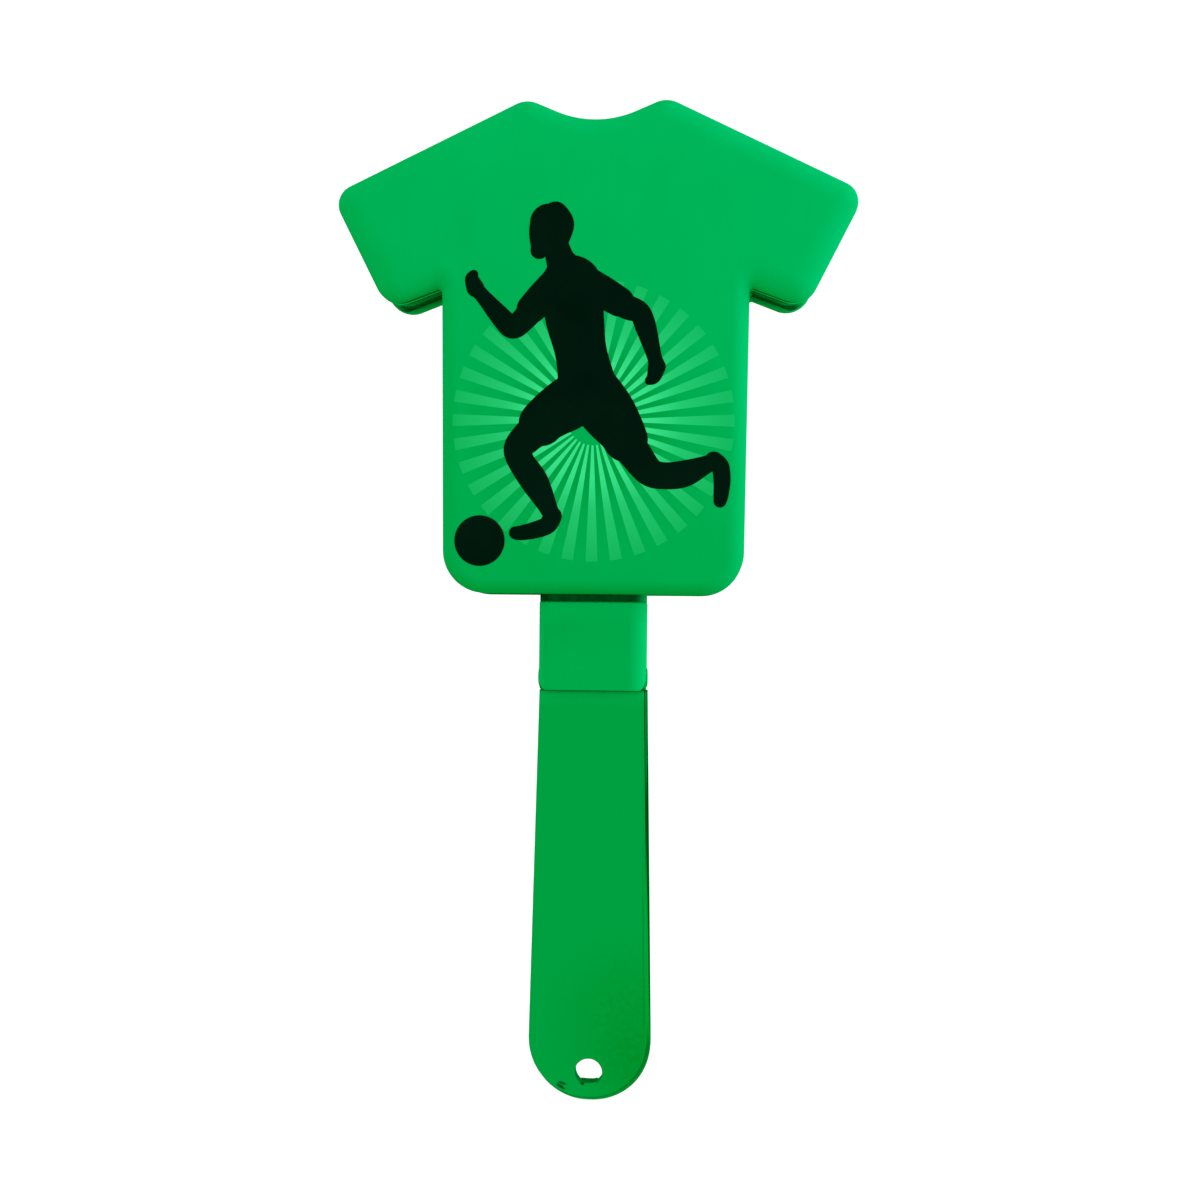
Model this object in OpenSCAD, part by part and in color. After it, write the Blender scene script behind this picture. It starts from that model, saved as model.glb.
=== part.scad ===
// Hand clapper in the shape of a shirt.
// A middle paddle, in one with the handle, stands between two shirt-shaped
// leaves that swing on one pin across the wrist and slap against it.
// Upright: +Z runs up the shirt, -Y is the printed front, X runs across.
// The origin is the middle of the hand grip. Millimetres.

/* [Shirt outline] */
// Half the distance between the two upper sleeve corners, before rounding
sleeve_half = 65; // [63:0.1:67]
// Height of the upper sleeve corners above the hinge pin
sleeve_h = 117.4; // [115:0.1:119]
// Half the distance between the two lower sleeve corners, before rounding
cuff_half = 50.9; // [49:0.1:53]
// Height of the lower sleeve corners above the hinge pin
cuff_h = 89.5; // [87:0.1:91]
// Half the width of the body at the armpits
chest_half = 37.4; // [36:0.1:39]
// Height of the armpits above the hinge pin
chest_h = 94.6; // [93:0.1:96]
// Half the width of the body at the hem
hem_half = 36.5; // [35:0.1:38]
// Height of the hem above the hinge pin
hem_h = 20.3; // [20:0.1:21]
// Half the distance between the two collar points, before rounding
neck_half = 17.1; // [16:0.1:19]
// Height of the collar points above the hinge pin, before rounding
neck_h = 140.7; // [139:0.1:143]
// Height of the middle of the neckline above the hinge pin, before rounding
neckline_h = 133.4; // [131:0.1:135]
// Corner radius of the hem
hem_r = 10.4; // [8:0.1:12]
// Radius of the upper sleeve corners
sleeve_r = 5; // [4.8:0.1:6]
// Radius of the lower sleeve corners
cuff_r = 6.2; // [5:0.1:7]
// Radius of the collar points
neck_r = 6.4; // [5:0.1:7]
// Radius of the neckline
neckline_r = 24.4; // [18:0.1:28]
// Radius in the armpits
armpit_r = 0.8; // [0.5:0.1:2]

/* [Leaf] */
// Depth of a leaf from its rim to its face
leaf_d = 6.6; // [6:0.1:7.5]
// Wall thickness of a leaf's face
leaf_wall = 1.6; // [1.2:0.1:2]
// Thickness of the wall round a leaf's rim
rim_wall = 1.8; // [1.6:0.1:2.2]
// Width of the rounded edge round a leaf's face
edge_w = 4.2; // [3:0.1:4.6]
// Depth of the rounded edge round a leaf's face
edge_d = 4; // [3:0.1:4.6]
// Thickness of the ribs inside a leaf
rib_t = 1.2; // [0.8:0.1:1.6]
// Distance between the level ribs inside a leaf
rib_pitch = 22.4; // [20:0.1:24]
// Gap left between a closed leaf and the paddle
closed_gap = 0.3; // [0.2:0.05:0.6]

/* [Paddle and handle] */
// Thickness of the paddle and handle
core_t = 5.6; // [5.2:0.1:5.8]
// Wall thickness of the core's two half-shells
core_wall = 1.3; // [1:0.1:1.5]
// Length of the handle
grip_l = 100; // [90:1:115]
// Half the width of the handle at the wrist
grip_top_half = 13.4; // [13.2:0.1:14]
// Radius of the handle's round end
grip_end_r = 15; // [13.5:0.1:16]
// How far the front half-shell stays inside the rear one
seam_step = 0.5; // [0.2:0.05:0.7]
// How far the front half-shell sits to one side
seam_shift = 0.35; // [0:0.05:0.4]
// How much shorter the front half-shell is at the handle's end
seam_end = 1.3; // [0:0.1:1.5]
// Radius of the hanging hole
hole_r = 3.35; // [2.5:0.05:4]
// Distance from the hole's middle to the end of the handle
hole_in = 6.9; // [6.5:0.1:9]

/* [Hinge] */
// Radius of the hinge pin
pin_r = 1.5; // [1.3:0.05:1.6]
// Clearance round the pin in the leaves' ears
pin_clear = 0.05; // [0.02:0.01:0.1]
// Height of the pin above the top of the handle
pin_h = 3.1; // [3:0.05:3.2]
// Radius of an ear
ear_r = 2.95; // [2.7:0.05:2.95]
// Half the width of the wrist
wrist_half = 13.1; // [13:0.05:13.2]
// Distance of the wrist's face from the pin
wrist_y = 4.5; // [4.4:0.05:4.8]
// Radius of the wrist's upright edges
wrist_r = 2.4; // [1.5:0.1:2.6]
// Depth of the groove between the wrist and the hem
groove_d = 0.75; // [0.3:0.05:0.9]
// How far a leaf opens from the paddle, in degrees
open_max = 20; // [15:0.5:20]

/* [Pose] */
// How far the front leaf stands open, in degrees
front_open = 0.8; // [0:0.1:3]
// How far the rear leaf stands open, in degrees
rear_open = 1.5; // [0:0.1:6]

/* [Hidden] */
$fn = 64;

leaf_green = "#00ac50";
core_green = "#009f40";
pin_green = "#00a448";

pin_z = grip_l / 2 + pin_h;
half_t = core_t / 2;
rim_y = half_t + closed_gap;
wall_in = 3;
wrist_low = -pin_h - 0.05;
wrist_top = hem_h - 1.9;
wrist_end = hem_h + 1.6;
ear_t = 1.5;
ear_gap = 0.2;
side_in = wrist_half - ear_t;
ear_in = side_in - ear_gap - ear_t;
shank_half = ear_in - 0.15;
shank_t = 2.4;
paddle_low = hem_h + 1.9;
relief_r = ear_r + 0.3;
lip_d = half_t + 0.15;
head_r = 2.3;
head_t = 0.25;
bore_in = 0.95;
steps = 8;
arc_n = 8;

// Corners of the shirt, counter-clockwise seen from the front: [x, z, radius]
function shirt(low) = [
    [hem_half, low, hem_r],
    [chest_half, chest_h, armpit_r],
    [cuff_half, cuff_h, cuff_r],
    [sleeve_half, sleeve_h, sleeve_r],
    [neck_half, neck_h, neck_r],
    [0, neckline_h, neckline_r],
    [-neck_half, neck_h, neck_r],
    [-sleeve_half, sleeve_h, sleeve_r],
    [-cuff_half, cuff_h, cuff_r],
    [-chest_half, chest_h, armpit_r],
    [-hem_half, low, hem_r]
];

function unit(v) = v / norm(v);
function turn(a) = a > 180 ? a - 360 : a < -180 ? a + 360 : a;

// One rounded corner of an outline that is drawn in by d
function corner(a, p, b, r, d) =
    let (u = unit(a - p), v = unit(b - p),
         half = acos(u * v) / 2,
         c = p + unit(u + v) * r / sin(half),
         convex = (p[0] - a[0]) * (b[1] - p[1]) - (p[1] - a[1]) * (b[0] - p[0]) > 0,
         t1 = p + u * r / tan(half) - c,
         t2 = p + v * r / tan(half) - c,
         a1 = atan2(t1[1], t1[0]),
         sweep = turn(atan2(t2[1], t2[0]) - a1),
         rr = convex ? r - d : r + d)
    [for (k = [0 : arc_n]) c + rr * [cos(a1 + sweep * k / arc_n), sin(a1 + sweep * k / arc_n)]];

// A whole outline drawn in by d
function outline(s, d) =
    let (n = len(s))
    [for (i = [0 : n - 1])
        let (a = s[(i + n - 1) % n], p = s[i], b = s[(i + 1) % n])
        for (q = corner([a[0], a[1]], [p[0], p[1]], [b[0], b[1]], p[2], d)) q];

// Flat faces that fill a shirt outline: the body, each sleeve as a fan from
// its collar point, and the chest as fans from the armpits
function shirt_faces() =
    let (k = arc_n + 1, last = 11 * k - 1, mid = 5 * k + arc_n / 2)
    concat(
        [concat([for (i = [0 : k]) i], [for (i = [last - k : last]) i])],
        [for (j = [k : 4 * k - 2]) [4 * k, j, j + 1]],
        [for (j = [4 * k : mid - 1]) [k, j, j + 1]],
        [[k, mid, last - k]],
        [for (j = [mid : last - 4 * k - 1]) [last - k, j, j + 1]],
        [for (j = [last - 4 * k + 1 : last - k - 1]) [last - 4 * k, j, j + 1]]);

// Upright plate of a flat shape, from y0 back to y1
module plate(y0, y1) {
    translate([0, y1, 0]) rotate([90, 0, 0]) linear_extrude(y1 - y0) children();
}

// Shape drawn in (y, z) and carried across from x0 to x1
module across(x0, x1) {
    translate([x0, 0, 0]) rotate([90, 0, 90]) linear_extrude(x1 - x0) children();
}

// Rod along X
module rod(r, x0, x1) {
    translate([x0, 0, 0]) rotate([0, 90, 0]) cylinder(r = r, h = x1 - x0);
}

// Pillow-edged solid of a leaf, rim at y = -rim_y, face towards -Y
module pillow(s) {
    rings = concat(
        [outline(s, 0)],
        [for (k = [0 : steps]) outline(s, edge_w * (1 - cos(90 * k / steps)))]);
    depth = concat([0],
        [for (k = [0 : steps]) leaf_d - edge_d + edge_d * sin(90 * k / steps)]);
    n = len(rings[0]);
    m = len(rings);
    points = [for (j = [0 : m - 1]) for (p = rings[j]) [p[0], -rim_y - depth[j], p[1]]];
    faces = concat(
        shirt_faces(),
        [for (f = shirt_faces()) [for (i = [len(f) - 1 : -1 : 0]) (m - 1) * n + f[i]]],
        [for (j = [0 : m - 2]) for (i = [0 : n - 1])
            [j * n + i, (j + 1) * n + i, (j + 1) * n + (i + 1) % n, j * n + (i + 1) % n]]);
    polyhedron(points = points, faces = faces, convexity = 10);
}

// Ribs of a leaf, kept inside its hollow
module ribs(s) {
    intersection() {
        plate(-rim_y - leaf_d + leaf_wall - 0.4, -rim_y - 0.5)
            polygon(outline(s, rim_wall - 0.4));
        union() {
            for (k = [0 : 3])
                translate([-sleeve_half, -rim_y - leaf_d, hem_h + rim_wall + rib_pitch * (k + 1) - rib_t])
                    cube([2 * sleeve_half, leaf_d, rib_t]);
            for (x = [-chest_half + 0.6, -side_in - ear_t / 2, side_in + ear_t / 2, chest_half - 0.6])
                translate([x - rib_t / 2, -rim_y - leaf_d, hem_h])
                    cube([rib_t, leaf_d, neck_h - hem_h]);
        }
    }
}

// Side view of the wrist wall: outer face, groove below the hem, inner face,
// and the lower lip, cut back so that it lies on the handle when fully open
module wrist_side() {
    lip = function(z) (-lip_d + z * sin(open_max)) / cos(open_max);
    z_in = (lip_d - wall_in * cos(open_max)) / sin(open_max);
    polygon([
        [-wrist_y, wrist_low],
        [lip(wrist_low), wrist_low],
        [-wall_in, z_in],
        [-closed_gap, z_in + 3],
        [-closed_gap, wrist_end],
        [-wrist_y + groove_d, wrist_end],
        [-wrist_y + groove_d, wrist_top],
        [-wrist_y, wrist_top]]);
}

// Channel section of the wrist, seen from above, front edges rounded
module wrist_section(half, r) {
    difference() {
        union() {
            translate([-half + r, -wrist_y]) square([2 * (half - r), wrist_y - closed_gap]);
            translate([-half, -wrist_y + r]) square([2 * half, wrist_y - r - closed_gap]);
            for (x = [-half + r, half - r]) translate([x, -wrist_y + r]) circle(r);
        }
        translate([-side_in, -wall_in]) square([2 * side_in, wall_in + 1]);
    }
}

// Wrist of a leaf with its two hinge ears, one outside and one inside
module wrist() {
    difference() {
        union() {
            intersection() {
                across(-20, 20) wrist_side();
                union() {
                    translate([0, 0, wrist_low - 1]) linear_extrude(wrist_top - wrist_low + 1)
                        wrist_section(wrist_half, wrist_r);
                    translate([0, 0, wrist_top - 0.5]) linear_extrude(wrist_end - wrist_top + 1)
                        wrist_section(wrist_half - 0.1, wrist_r);
                }
            }
            // web that carries the inner ear
            across(ear_in, ear_in + ear_t)
                polygon([[-wall_in - 0.5, 2], [-0.6, 0.5], [-closed_gap, 3],
                         [-closed_gap, wrist_top - 4], [-wall_in - 0.5, wrist_top]]);
        }
        // room for the other leaf's outer ear
        rod(relief_r, side_in - ear_gap / 2, wrist_half + 1);
        rod(pin_r + 0.4, -wrist_half - 1, wrist_half + 1);
    }
    difference() {
        union() {
            rod(ear_r, -wrist_half, -side_in);
            rod(ear_r, ear_in, ear_in + ear_t);
        }
        rod(pin_r + pin_clear, -wrist_half - 1, wrist_half + 1);
    }
}

// A whole leaf, closed, with the pin at the origin
module leaf() {
    s = shirt(hem_h);
    difference() {
        pillow(s);
        plate(-rim_y - leaf_d + leaf_wall, -rim_y + 1) polygon(outline(s, rim_wall));
    }
    ribs(s);
    wrist();
}

// Outline of the handle, drawn in by d, its end moved up by lift
module grip_shape(d, lift) {
    zc = -grip_l / 2 + grip_end_r + lift;
    polygon([[-grip_top_half + d, grip_l / 2], [-grip_end_r + d, zc],
             [grip_end_r - d, zc], [grip_top_half - d, grip_l / 2]]);
    translate([0, zc]) circle(grip_end_r - d);
}

// Places of the glue pegs, above the grip's middle
function pegs() = [
    for (x = [-24, 24]) for (h = [46, 80]) [x, pin_z + h],
    for (x = [-46, 46]) [x, pin_z + 106],
    [0, pin_z + 63], [0, pin_z + 118], [0, 32], [0, -4]];

hole_z = -grip_l / 2 + hole_in;

// One half-shell of the core, face towards -Y: d draws its outline in, shift
// moves it to one side and lift shortens the handle's end
module core_half(d, shift, lift) {
    s = shirt(paddle_low);
    difference() {
        union() {
            difference() {
                union() {
                    plate(-half_t, 0) translate([shift, pin_z]) polygon(outline(s, 0.3 + d));
                    plate(-half_t, 0) translate([shift, 0]) grip_shape(d, lift);
                }
                plate(-half_t + core_wall, 1) translate([0, pin_z]) polygon(outline(s, 0.3 + 1.9));
                intersection() {
                    plate(-half_t + core_wall, 1) grip_shape(1.9, seam_end);
                    translate([-50, -50, -200]) cube([100, 100, 200 + grip_l / 2 - 2.4]);
                }
            }
            plate(-shank_t, 0) translate([-shank_half, grip_l / 2 - 2])
                square([2 * shank_half, pin_h + paddle_low + 4]);
            plate(-half_t + core_wall - 0.3, 0) translate([0, hole_z]) circle(hole_r + 1.5);
        }
        plate(-half_t - 1, 1) translate([0, hole_z]) circle(hole_r);
        translate([0, 0, pin_z]) rod(pin_r + 0.02, -20, 20);
    }
}

module core_front_shell() {
    color(core_green) {
        core_half(seam_step, -seam_shift, seam_end);
        for (p = pegs()) plate(-half_t + core_wall - 0.3, 1) translate(p) circle(1.5);
    }
}

module core_rear_shell() {
    color(core_green) rotate([0, 0, 180]) {
        core_half(0, 0, 0);
        for (p = pegs()) plate(-half_t + core_wall - 0.3, 0) translate(p)
            difference() { circle(2.8); circle(1.58); }
    }
}

module front_leaf() {
    color(leaf_green) translate([0, 0, pin_z]) rotate([front_open, 0, 0]) leaf();
}

module rear_leaf() {
    color(leaf_green) translate([0, 0, pin_z]) rotate([-rear_open, 0, 0])
        rotate([0, 0, 180]) leaf();
}

module hinge_pin_sleeve() {
    color(pin_green) translate([0, 0, pin_z]) difference() {
        union() {
            rod(pin_r, -wrist_half - 0.05, wrist_half);
            rod(head_r, -wrist_half - 0.05 - head_t, -wrist_half - 0.05);
        }
        rod(bore_in, wrist_half - 12, wrist_half + 1);
    }
}

module hinge_pin_plug() {
    color(pin_green) translate([0, 0, pin_z]) {
        rod(bore_in - 0.02, wrist_half - 10, wrist_half + 0.2);
        rod(head_r, wrist_half + 0.05, wrist_half + 0.05 + head_t);
    }
}

core_front_shell();
core_rear_shell();
front_leaf();
rear_leaf();
hinge_pin_sleeve();
hinge_pin_plug();
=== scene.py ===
import math

import bmesh
import bpy
from mathutils import Matrix, Quaternion, Vector
from mathutils.geometry import delaunay_2d_cdt


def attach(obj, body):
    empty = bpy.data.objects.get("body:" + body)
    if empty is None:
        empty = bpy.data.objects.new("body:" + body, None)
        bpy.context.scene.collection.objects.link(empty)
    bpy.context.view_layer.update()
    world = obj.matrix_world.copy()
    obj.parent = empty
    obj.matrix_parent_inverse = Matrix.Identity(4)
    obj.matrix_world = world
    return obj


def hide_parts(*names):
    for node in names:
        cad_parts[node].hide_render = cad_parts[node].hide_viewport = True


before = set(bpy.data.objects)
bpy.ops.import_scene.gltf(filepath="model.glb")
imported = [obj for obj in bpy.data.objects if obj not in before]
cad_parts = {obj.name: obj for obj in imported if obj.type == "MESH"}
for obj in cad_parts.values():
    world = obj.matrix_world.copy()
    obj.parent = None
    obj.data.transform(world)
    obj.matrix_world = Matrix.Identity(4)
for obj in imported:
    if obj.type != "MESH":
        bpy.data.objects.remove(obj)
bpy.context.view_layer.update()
scene = bpy.context.scene

# ------------------------------------------------------------------ sizes, mm
# The same numbers as the CAD model: heights are above the hinge pin.
PIN_Z = 53.1
SLEEVE_HALF, SLEEVE_H = 65.0, 117.4
CUFF_HALF, CUFF_H = 50.9, 89.5
CHEST_HALF, CHEST_H = 37.4, 94.6
HEM_HALF, HEM_H = 36.5, 20.3
NECK_HALF, NECK_H, NECKLINE_H = 17.1, 140.7, 133.4
HEM_R, CUFF_R, SLEEVE_R, NECK_R, NECKLINE_R, ARMPIT_R = 10.4, 6.2, 5.0, 6.4, 24.4, 0.8
LEAF_D, LEAF_WALL, RIM_WALL = 6.6, 1.6, 1.8
EDGE_D = 4.0
SIDE_W, CUFF_W, SLEEVE_W, SHOULDER_W, NECKLINE_W, HEM_W = 4.4, 6.2, 6.8, 6.0, 5.0, 3.4
RIB_T, RIB_PITCH = 1.2, 22.4
HALF_T, RIM_Y = 2.8, 3.1
CORE_WALL = 1.3
GRIP_TOP, GRIP_BOTTOM = 50.0, -50.3
GRIP_TOP_HALF, GRIP_END_R = 13.4, 15.0
GRIP_SLIM, END_FULL, END_SLIM = 0.977, 0.39, 0.14
SEAM_STEP, SEAM_SHIFT, SEAM_SKEW, SEAM_END = 0.5, 0.35, 0.15, 0.9
HOLE_R, HOLE_Z = 3.35, -43.1
PIN_R, PIN_CLEAR, EAR_R, EAR_IN_R = 1.5, 0.05, 3.05, 2.9
WRIST_HALF, WRIST_Y, WRIST_R, WALL_IN = 13.1, 4.5, 2.4, 3.0
WRIST_LOW, WRIST_TOP, WRIST_END = -3.15, 18.4, 21.9
GROOVE_D, GAP = 0.75, 0.3
SLEEVE_TRIM, SLEEVE_MORE = 0.6, 0.55
SIDE_IN, EAR_IN, EAR_T = 11.6, 9.9, 1.5
SHANK_HALF, SHANK_T, PADDLE_LOW = 9.75, 2.4, 22.2
RELIEF_R, LIP_D, OPEN_MAX = 3.25, 2.95, math.radians(20)
HEAD_R, HEAD_T, BORE_IN = 2.3, 0.25, 0.95
FRONT_OPEN, REAR_OPEN = math.radians(0.8), math.radians(1.5)

TO_M = Matrix.Scale(0.001, 4)
AT_PIN = Matrix.Translation((0, 0, PIN_Z))
FRONT = TO_M @ AT_PIN @ Matrix.Rotation(FRONT_OPEN, 4, "X")
REAR = TO_M @ AT_PIN @ Matrix.Rotation(-REAR_OPEN, 4, "X") @ Matrix.Rotation(math.pi, 4, "Z")


# ------------------------------------------------------------- mesh helpers
def make(name, bm):
    """A linked object from a bmesh, normals outwards."""
    bmesh.ops.recalc_face_normals(bm, faces=bm.faces)
    mesh = bpy.data.meshes.new(name)
    bm.to_mesh(mesh)
    bm.free()
    ob = bpy.data.objects.new(name, mesh)
    scene.collection.objects.link(ob)
    return ob


def drop(ob):
    mesh = ob.data
    bpy.data.objects.remove(ob, do_unlink=True)
    bpy.data.meshes.remove(mesh)


def combine(a, b, how):
    """Applies an exact boolean of b on a, and removes b."""
    mod = a.modifiers.new("csg", "BOOLEAN")
    mod.operation, mod.solver, mod.object = how, "EXACT", b
    bpy.context.view_layer.update()
    done = bpy.data.meshes.new_from_object(a.evaluated_get(bpy.context.evaluated_depsgraph_get()))
    a.modifiers.clear()
    old, a.data = a.data, done
    bpy.data.meshes.remove(old)
    drop(b)
    return a


def add(a, b):
    return combine(a, b, "UNION")


def cut(a, b):
    return combine(a, b, "DIFFERENCE")


def keep(a, b):
    return combine(a, b, "INTERSECT")


def loft(name, rings):
    """Closed solid through rings of equal length."""
    bm = bmesh.new()
    rows = [[bm.verts.new(p) for p in ring] for ring in rings]
    n = len(rows[0])
    for a, b in zip(rows, rows[1:]):
        for i in range(n):
            j = (i + 1) % n
            bm.faces.new((a[i], a[j], b[j], b[i]))
    bm.faces.new(list(reversed(rows[0])))
    bm.faces.new(rows[-1])
    return make(name, bm)


def prism(name, points, a, b, axis):
    """Extrusion of a flat outline along X (outline in y, z), Y (x, z) or Z (x, y)."""
    place = {
        "X": lambda p, t: (t, p[0], p[1]),
        "Y": lambda p, t: (p[0], t, p[1]),
        "Z": lambda p, t: (p[0], p[1], t),
    }[axis]
    return loft(name, [[place(p, a) for p in points], [place(p, b) for p in points]])


def circle(cx, cy, r, n=48):
    return [(cx + r * math.cos(2 * math.pi * k / n), cy + r * math.sin(2 * math.pi * k / n)) for k in range(n)]


def rod(name, r, x0, x1, soft=0.0, n=48):
    """Round bar along X, its two end edges rounded by soft."""
    stations = [(x0, r)] if not soft else [
        (x0 + soft * (1 - math.sin(k * math.pi / 8)), r - soft * (1 - math.cos(k * math.pi / 8))) for k in range(4, -1, -1)]
    stations += [(x1, r)] if not soft else [
        (x1 - soft * (1 - math.sin(k * math.pi / 8)), r - soft * (1 - math.cos(k * math.pi / 8))) for k in range(0, 5)]
    return loft(name, [[(x, a, b) for a, b in circle(0, 0, rr, n)] for x, rr in stations])


def turned_x(name, stations, n=48):
    """Body turned about X through (x, radius) stations."""
    return loft(name, [[(x, a, b) for a, b in circle(0, 0, r, n)] for x, r in stations])


def turned_y(name, stations, x, z, n=64):
    """Body turned about a line along Y through (x, z)."""
    return loft(name, [[(a, y, b) for a, b in circle(x, z, r, n)] for y, r in stations])


def box(name, lo, hi):
    return prism(name, [(lo[0], lo[2]), (hi[0], lo[2]), (hi[0], hi[2]), (lo[0], hi[2])], lo[1], hi[1], "Y")


def finish_mesh(ob, matrix, sharp=30):
    """Into place in metres, loose bits cleaned away, smooth shading up to an angle."""
    ob.data.transform(matrix)
    bm = bmesh.new()
    bm.from_mesh(ob.data)
    bmesh.ops.remove_doubles(bm, verts=bm.verts, dist=1e-7)
    bmesh.ops.dissolve_degenerate(bm, dist=1e-7, edges=bm.edges)
    bmesh.ops.recalc_face_normals(bm, faces=bm.faces)
    bm.to_mesh(ob.data)
    bm.free()
    ob.data.shade_smooth()
    ob.data.set_sharp_from_angle(angle=math.radians(sharp))
    mod = ob.modifiers.new("flat_faces", "WEIGHTED_NORMAL")
    mod.keep_sharp, mod.weight = True, 100
    bpy.context.view_layer.update()
    done = bpy.data.meshes.new_from_object(ob.evaluated_get(bpy.context.evaluated_depsgraph_get()))
    ob.modifiers.clear()
    old, ob.data = ob.data, done
    bpy.data.meshes.remove(old)
    return ob


# ------------------------------------------------------------------ outlines
def shirt(low, trim=0.0, more=0.0):
    """Corners counter-clockwise seen from the front: x, height, radius, steps; trim shortens the sleeves, more only the one at -x."""
    half = [
        (HEM_HALF, low, HEM_R, 18),
        (CHEST_HALF, CHEST_H, ARMPIT_R, 10),
        (CUFF_HALF - trim, CUFF_H, CUFF_R, 14),
        (SLEEVE_HALF - trim, SLEEVE_H, SLEEVE_R, 14),
        (NECK_HALF, NECK_H, NECK_R, 14),
    ]
    other = [(-x, z, r, n) for x, z, r, n in reversed(half)]
    for i, rise in ((1, (NECK_H - SLEEVE_H) / (SLEEVE_HALF - NECK_HALF)), (2, (CHEST_H - CUFF_H) / (CUFF_HALF - CHEST_HALF))):
        x, z, r, n = other[i]
        other[i] = (x + more, z + more * rise, r, n)
    return half + [(0.0, NECKLINE_H, NECKLINE_R, 24)] + other


def outline(corners, d):
    """The rounded outline drawn in by d, each corner about a fixed centre."""
    out = []
    for i, (x, z, r, n) in enumerate(corners):
        p = Vector((x, z))
        a = Vector(corners[i - 1][:2])
        b = Vector(corners[(i + 1) % len(corners)][:2])
        u, v = (a - p).normalized(), (b - p).normalized()
        half = math.acos(max(-1.0, min(1.0, u.dot(v)))) / 2
        c = p + (u + v).normalized() * (r / math.sin(half))
        e, f = p - a, b - p
        rr = r - d if e.x * f.y - e.y * f.x > 0 else r + d
        t1, t2 = p + u * (r / math.tan(half)) - c, p + v * (r / math.tan(half)) - c
        a1 = math.atan2(t1.y, t1.x)
        sweep = (math.atan2(t2.y, t2.x) - a1 + math.pi) % (2 * math.pi) - math.pi
        for k in range(n + 1):
            w = a1 + sweep * k / n
            out.append((c.x + rr * math.cos(w), c.y + rr * math.sin(w)))
    return out


def pillow(corners, widths, t):
    """The outline drawn in by t times a width of its own on each edge, corners kept round."""
    out = []
    for i, (x, z, r, n) in enumerate(corners):
        p = Vector((x, z))
        e = (p - Vector(corners[i - 1][:2])).normalized()
        f = (Vector(corners[(i + 1) % len(corners)][:2]) - p).normalized()
        m1, m2 = Vector((-e.y, e.x)), Vector((-f.y, f.x))
        d1, d2 = t * widths[i - 1], t * widths[i]
        turn = e.x * f.y - e.y * f.x
        if turn > 0:
            r1 = r2 = max(r - max(d1, d2), 1.2)
            k1, k2, way = d1 + r1, d2 + r2, -1
        else:
            r1, r2 = r + d1, r + d2
            k1, k2, way = -r, -r, 1
        det = m1.x * m2.y - m1.y * m2.x
        c = p + Vector(((k1 * m2.y - k2 * m1.y) / det, (k2 * m1.x - k1 * m2.x) / det))
        a1 = math.atan2(way * m1.y, way * m1.x)
        sweep = (math.atan2(way * m2.y, way * m2.x) - a1 + math.pi) % (2 * math.pi) - math.pi
        for k in range(n + 1):
            w, share = a1 + sweep * k / n, k / n
            rr = r1 + (r2 - r1) * share * share * (3 - 2 * share)
            out.append((c.x + rr * math.cos(w), c.y + rr * math.sin(w)))
    return out


def grip_outline(d, shift=0.0, lift=0.0, hand=1, n=40):
    """Outline of the handle drawn in by d, its end raised by lift, counter-clockwise, its shoulders eased.

    One side is a hair slimmer than the other; hand is -1 for the half that is turned round later."""
    zc = GRIP_BOTTOM + lift + GRIP_END_R
    r = GRIP_END_R - d
    skew = SEAM_SKEW if shift < 0 else 0.0
    pts = []
    for k in range(n + 1):
        a = math.pi + math.pi * k / n
        full = r + (END_FULL if hand * math.cos(a) > 0 else END_SLIM) * abs(math.sin(2 * a)) ** 1.2
        pts.append((full * math.cos(a) - skew, zc + full * math.sin(a)))
    ease = 0.2
    cx, cz = GRIP_TOP_HALF - d - ease, GRIP_TOP - 0.02 * d - ease
    right = [(cx + ease * math.cos(k * math.pi / 12), cz + ease * math.sin(k * math.pi / 12)) for k in range(7)]
    pts += right + [(-x, z) for x, z in reversed(right)]
    return [((x if hand * x > 0 else GRIP_SLIM * x) + shift, z) for x, z in pts]


def quarter(n):
    return [k * math.pi / 2 / n for k in range(n + 1)]


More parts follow.
